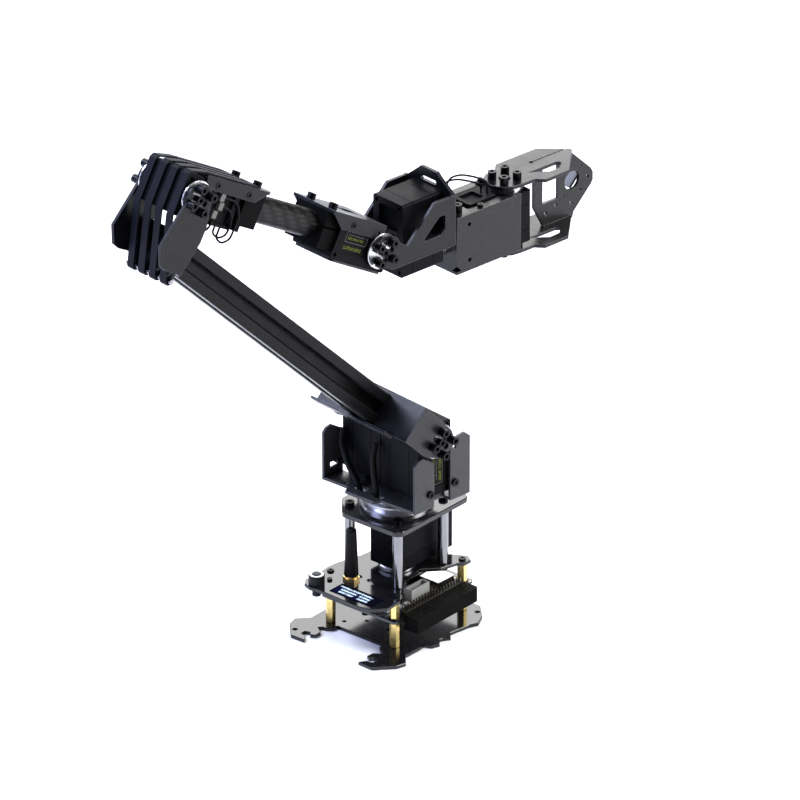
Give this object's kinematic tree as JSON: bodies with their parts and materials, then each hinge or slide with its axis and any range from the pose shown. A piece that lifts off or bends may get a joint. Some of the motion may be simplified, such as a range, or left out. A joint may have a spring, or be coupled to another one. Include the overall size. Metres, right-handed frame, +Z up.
{
  "type": "robot arm",
  "caption": "Desktop servo arm on a stacked-plate base: turntable, slotted profile upper arm, carbon tube forearm, pitching and rolling wrist, plate tool mount.",
  "frame": {"origin": "underside of the base plate, on the turntable axis", "axes": "+Z up, +X from the button side of the base towards the tool side, square to the base plates; the arm's own plane stands turned 6.9 degrees about -Z"},
  "size_m": [0.3499, 0.0891, 0.3428],
  "materials": {
    "gloss_black_plate": "gloss black",
    "black_anodised": "black anodised, satin",
    "grey_anodised": "dark grey anodised, satin",
    "brass": "machined",
    "black_steel": "black oxide",
    "bright_steel": "polished",
    "chrome": "bright",
    "servo_case": "moulded, fine texture",
    "black_plastic": "moulded",
    "pale_plastic": "moulded",
    "board": "dark solder mask",
    "module_shield": "tinned",
    "display": "glossy",
    "carbon": "woven carbon, satin resin",
    "band_rubber": "dull",
    "cable": "dull"
  },
  "bodies": {
    "base": {"base_plate": "gloss_black_plate", "standoffs": "brass", "controller_board": "board", "edge_header": "black_plastic", "pin_headers": "black_plastic", "bus_socket": "pale_plastic", "radio_module": "module_shield", "board_components": "pale_plastic", "middle_plate": "gloss_black_plate", "display_module": "display", "button_socket": "black_plastic", "antenna_base": "brass", "antenna_whip": "black_plastic", "yaw_servo": "servo_case", "yaw_servo_foot": "bright_steel", "support_posts": "chrome", "top_plate": "gloss_black_plate", "base_screws": "black_steel", "bearing_ring": "bright_steel"},
    "button": {"button_cap": "black_plastic"},
    "turret": {"yaw_horn": "bright_steel", "turntable": "bright_steel", "housing_bracket": "black_anodised", "shoulder_servo_near": "servo_case", "shoulder_servo_far": "servo_case", "servo_stand": "black_anodised", "housing_screws": "black_steel", "turret_cables": "cable"},
    "upper_arm": {"shoulder_horns": "bright_steel", "shoulder_bracket": "black_anodised", "arm_profile": "black_anodised", "elbow_bracket": "grey_anodised", "band_pin": "bright_steel", "elbow_horns": "bright_steel", "upper_arm_screws": "black_steel"},
    "forearm": {"elbow_servo": "servo_case", "elbow_cover": "grey_anodised", "tube_clamp_rear": "black_plastic", "tube_clamp_front": "black_plastic", "forearm_tube": "carbon", "wrist_servo": "servo_case", "wrist_cover": "grey_anodised", "wrist_lower_plate": "black_anodised", "forearm_screws": "black_steel", "lead_plugs": "pale_plastic", "elbow_leads": "cable", "elbow_bands": "band_rubber"},
    "wrist": {"wrist_horns": "bright_steel", "wrist_bracket": "grey_anodised", "roll_servo": "servo_case", "wrist_screws": "black_steel"},
    "carrier": {"roll_horn": "bright_steel", "tool_carrier": "black_anodised", "tool_servo": "servo_case", "tool_leads": "cable", "carrier_screws": "black_steel"},
    "tool": {"tool_horn": "bright_steel", "tool_idler": "bright_steel", "tool_bracket": "grey_anodised", "tool_screws": "black_steel"}
  },
  "joints": [
    {"name": "base_yaw", "type": "hinge", "parent": "base", "child": "turret", "pos_m": [0, 0, 0.08], "axis": [0, 0, 1], "range_deg": [-120, 120]},
    {"name": "shoulder_pitch", "type": "hinge", "parent": "turret", "child": "upper_arm", "pos_m": [0, 0, 0.1268], "axis": [0.1201, 0.9928, 0], "range_deg": [-20, 70]},
    {"name": "elbow_pitch", "type": "hinge", "parent": "upper_arm", "child": "forearm", "pos_m": [-0.16437, 0.01989, 0.32617], "axis": [0.1201, 0.9928, 0], "range_deg": [-75, 3], "deforming": ["elbow_bands"]},
    {"name": "wrist_pitch", "type": "hinge", "parent": "forearm", "child": "wrist", "pos_m": [-0.02762, 0.00334, 0.24943], "axis": [0.1201, 0.9928, 0], "range_deg": [-60, 20]},
    {"name": "wrist_roll", "type": "hinge", "parent": "wrist", "child": "carrier", "pos_m": [0.02978, -0.0036, 0.2324], "axis": [0.9928, -0.1201, 0], "range_deg": [-90, 90]},
    {"name": "tool_yaw", "type": "hinge", "parent": "carrier", "child": "tool", "pos_m": [0.08289, -0.01003, 0.23], "axis": [0, 0, 1], "range_deg": [-75, 75]},
    {"name": "button_press", "type": "slide", "parent": "base", "child": "button", "axis": [0, 0, -1], "range_m": [0, 0.0012], "stiffness_N_per_m": 300, "springref_m": -0.001}
  ]
}
